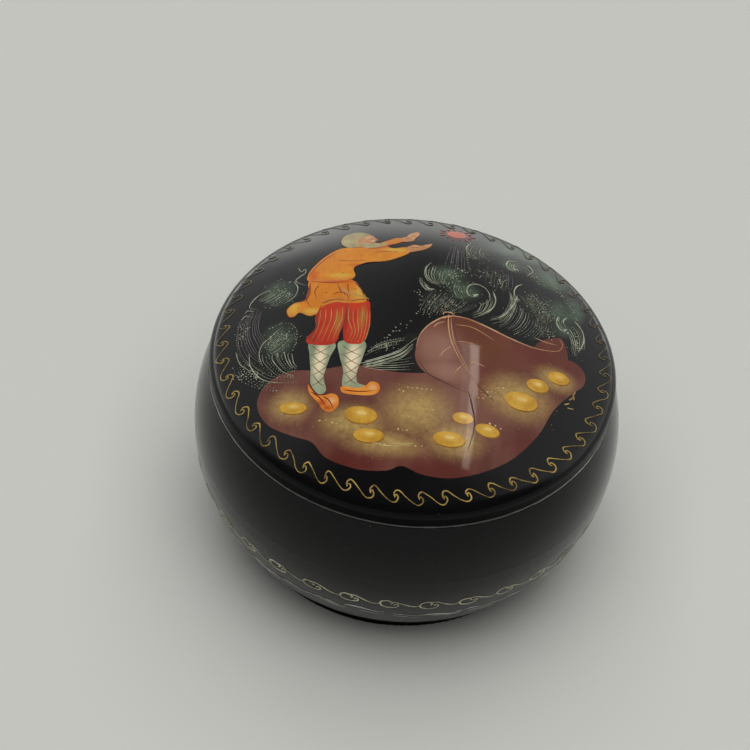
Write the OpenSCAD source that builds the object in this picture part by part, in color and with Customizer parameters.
// Round lacquered papier-mache box with a lift-off domed lid.
// Origin: centre of the resting face of the foot ring, +Z up through the lid.
// Every piece is turned about the Z axis, so each one is a half profile spun round it.

/* [Lid] */
// Outer radius of the lid at its rim
lid_r = 45; // [36:0.5:60]
// Height of the lid from its seat to the crown
lid_h = 13.6; // [11.5:0.1:18]
// Height of the straight edge round the lid
lid_edge_h = 2.2; // [1.5:0.1:3]
// Radius of the rounding between the lid's edge and its dome
lid_shoulder_r = 3.5; // [1.5:0.1:5]
// Thickness of the domed top board
lid_top_t = 2.4; // [1.6:0.1:3]
// Width of the ring glued under the domed top
lid_rim_w = 4; // [3:0.1:6]

/* [Body] */
// Height of the lid's seat above the table
body_h = 46.5; // [36:0.5:60]
// How far the widest line of the body lies below the lid's seat
belly_drop = 15.5; // [12:0.5:20]
// How far the widest line of the body stands out beyond the lid's edge
belly_out = 2.9; // [1.5:0.1:6]
// How far the body's mouth is set in from the lid's edge
mouth_in = 0.2; // [0:0.05:0.6]
// Thickness of the body wall
wall_t = 4; // [3:0.1:5]

/* [Base and foot] */
// Outer radius at the underside of the body wall
base_r = 36; // [28:0.5:38]
// Thickness of the base board
base_t = 3; // [2:0.1:5]
// Height of the foot ring
foot_h = 2.4; // [1.5:0.1:5]
// Width of the foot ring
foot_w = 5.5; // [4:0.1:8]
// How far the foot ring is set in from the edge of the body's underside
foot_in = 0; // [0:0.1:1.5]
// How far the foot ring laps under the edge of the base board
base_lap = 2; // [1:0.1:3]

/* [Collar that locates the lid] */
// How far the collar stands up out of the body
collar_up = 3; // [2:0.1:3.4]
// How far the collar is glued down inside the body
collar_down = 5; // [3:0.1:8]
// Thickness of the collar
collar_t = 1.8; // [1.2:0.1:3]
// Radial clearance between the collar and the lid's rim
lid_gap = 0.1; // [0.05:0.01:0.3]

/* [Softened edges] */
// Radius of the small rounding on the visible edges
edge_r = 0.5; // [0.2:0.05:0.8]

/* [Hidden] */
$fn = 180;

lid_colour = "#141416";
body_colour = "#101012";
red_colour = "#7a1712";

// Body: radii and heights of the outer and inner curves
mouth_r = lid_r - mouth_in;
belly_r = lid_r + belly_out;
belly_z = body_h - belly_drop;
upper_c = bulge_centre(belly_r, mouth_r, belly_drop);
lower_c = bulge_centre(belly_r, base_r, belly_z - foot_h);

// Collar: it fits inside the lid's rim with the named clearance
rim_in_r = lid_r - lid_rim_w;
collar_r = rim_in_r - lid_gap;
collar_in_r = collar_r - collar_t;
seat_z = body_h - collar_down;
neck_c = bulge_centre(belly_r - wall_t, collar_r, seat_z - belly_z);

// Base and foot
foot_r = base_r - foot_in;
foot_in_r = foot_r - foot_w;
disc_r = foot_in_r + base_lap;
floor_z = foot_h + base_t;

// Lid: the crown is a sphere that runs tangent into the shoulder rounding
edge_top_z = body_h + lid_edge_h;
shoulder_c = lid_r - lid_shoulder_r;
crown_rise = lid_h - lid_edge_h;
crown_r = (pow(shoulder_c, 2) + pow(crown_rise, 2) - pow(lid_shoulder_r, 2))
        / (2 * (crown_rise - lid_shoulder_r));
crown_z = body_h + lid_h - crown_r;
// Radius at which the crown's sphere meets the shoulder rounding
blend_r = shoulder_c * crown_r / (crown_r - lid_shoulder_r);

// Centre radius of the arc that is upright at r_wide and passes through r_end, rise away
function bulge_centre(r_wide, r_end, rise) =
    (pow(r_wide, 2) - pow(r_end, 2) - pow(rise, 2)) / (2 * (r_wide - r_end));

// Area between the axis and a bulging arc, from height z_a up to z_b.
// The arc is centred at radius centre and height z_mid, and reaches out to r_wide.
module bulge_area(r_wide, centre, z_mid, z_a, z_b) {
    intersection() {
        union() {
            translate([centre, z_mid]) circle(r = r_wide - centre);
            translate([0, z_a]) square([max(centre, edge_r), z_b - z_a]);
        }
        translate([0, z_a]) square([r_wide + edge_r, z_b - z_a]);
    }
}

// Rectangle in the half profile, from radius r_a to r_b and height z_a to z_b
module band(r_a, r_b, z_a, z_b) {
    translate([r_a, z_a]) square([r_b - r_a, z_b - z_a]);
}

// Cutter that rounds a square outside corner at (r, z); up is 1 for a top corner, -1 for a bottom one
module corner_cutter(r, z, up) {
    translate([r - edge_r, z - up * edge_r])
        difference() {
            translate([0, up > 0 ? 0 : -2 * edge_r]) square(2 * edge_r);
            circle(r = edge_r);
        }
}

// Turned and curved wall of the body, with a seat for the collar and a rebate for the base board
module body_wall() {
    color(body_colour)
        rotate_extrude()
            difference() {
                union() {
                    bulge_area(belly_r, upper_c, belly_z, belly_z, body_h);
                    bulge_area(belly_r, lower_c, belly_z, foot_h, belly_z);
                }
                bulge_area(belly_r - wall_t, neck_c, belly_z, belly_z, seat_z);
                bulge_area(belly_r - wall_t, lower_c, belly_z, floor_z, belly_z);
                band(0, collar_r, seat_z, body_h + 1);
                band(0, disc_r, foot_h - 1, floor_z);
                corner_cutter(mouth_r, body_h, 1);
            }
}

// Flat board glued into the wall's rebate from below
module base_disc() {
    color(red_colour)
        translate([0, 0, foot_h])
            cylinder(r = disc_r, h = base_t);
}

// Turned ring that the box stands on
module foot_ring() {
    color(body_colour)
        rotate_extrude()
            difference() {
                band(foot_in_r, foot_r, 0, foot_h);
                corner_cutter(foot_r, 0, -1);
            }
}

// Thin ring glued inside the mouth, which the lid drops over
module lip_collar() {
    color(red_colour)
        rotate_extrude()
            difference() {
                band(collar_in_r, collar_r, seat_z, body_h + collar_up);
                corner_cutter(collar_r, body_h + collar_up, 1);
            }
}

// Ring under the lid, whose lower face rests on the body's mouth
module lid_rim() {
    color(lid_colour)
        rotate_extrude()
            difference() {
                band(rim_in_r, lid_r, body_h, edge_top_z);
                corner_cutter(lid_r, body_h, -1);
            }
}

// Solid half profile of the crown and its shoulder above the ring
module crown_area() {
    intersection() {
        translate([0, crown_z]) circle(r = crown_r);
        band(0, blend_r, edge_top_z, body_h + lid_h + 1);
    }
    intersection() {
        translate([shoulder_c, edge_top_z]) circle(r = lid_shoulder_r);
        band(shoulder_c, lid_r, edge_top_z, edge_top_z + lid_shoulder_r);
    }
}

// Domed top board, glued down on the ring
module lid_dome() {
    color(lid_colour)
        rotate_extrude()
            difference() {
                crown_area();
                intersection() {
                    translate([0, crown_z]) circle(r = crown_r - lid_top_t);
                    band(0, rim_in_r, edge_top_z - 1, body_h + lid_h);
                }
            }
}

body_wall();
base_disc();
foot_ring();
lip_collar();
lid_rim();
lid_dome();
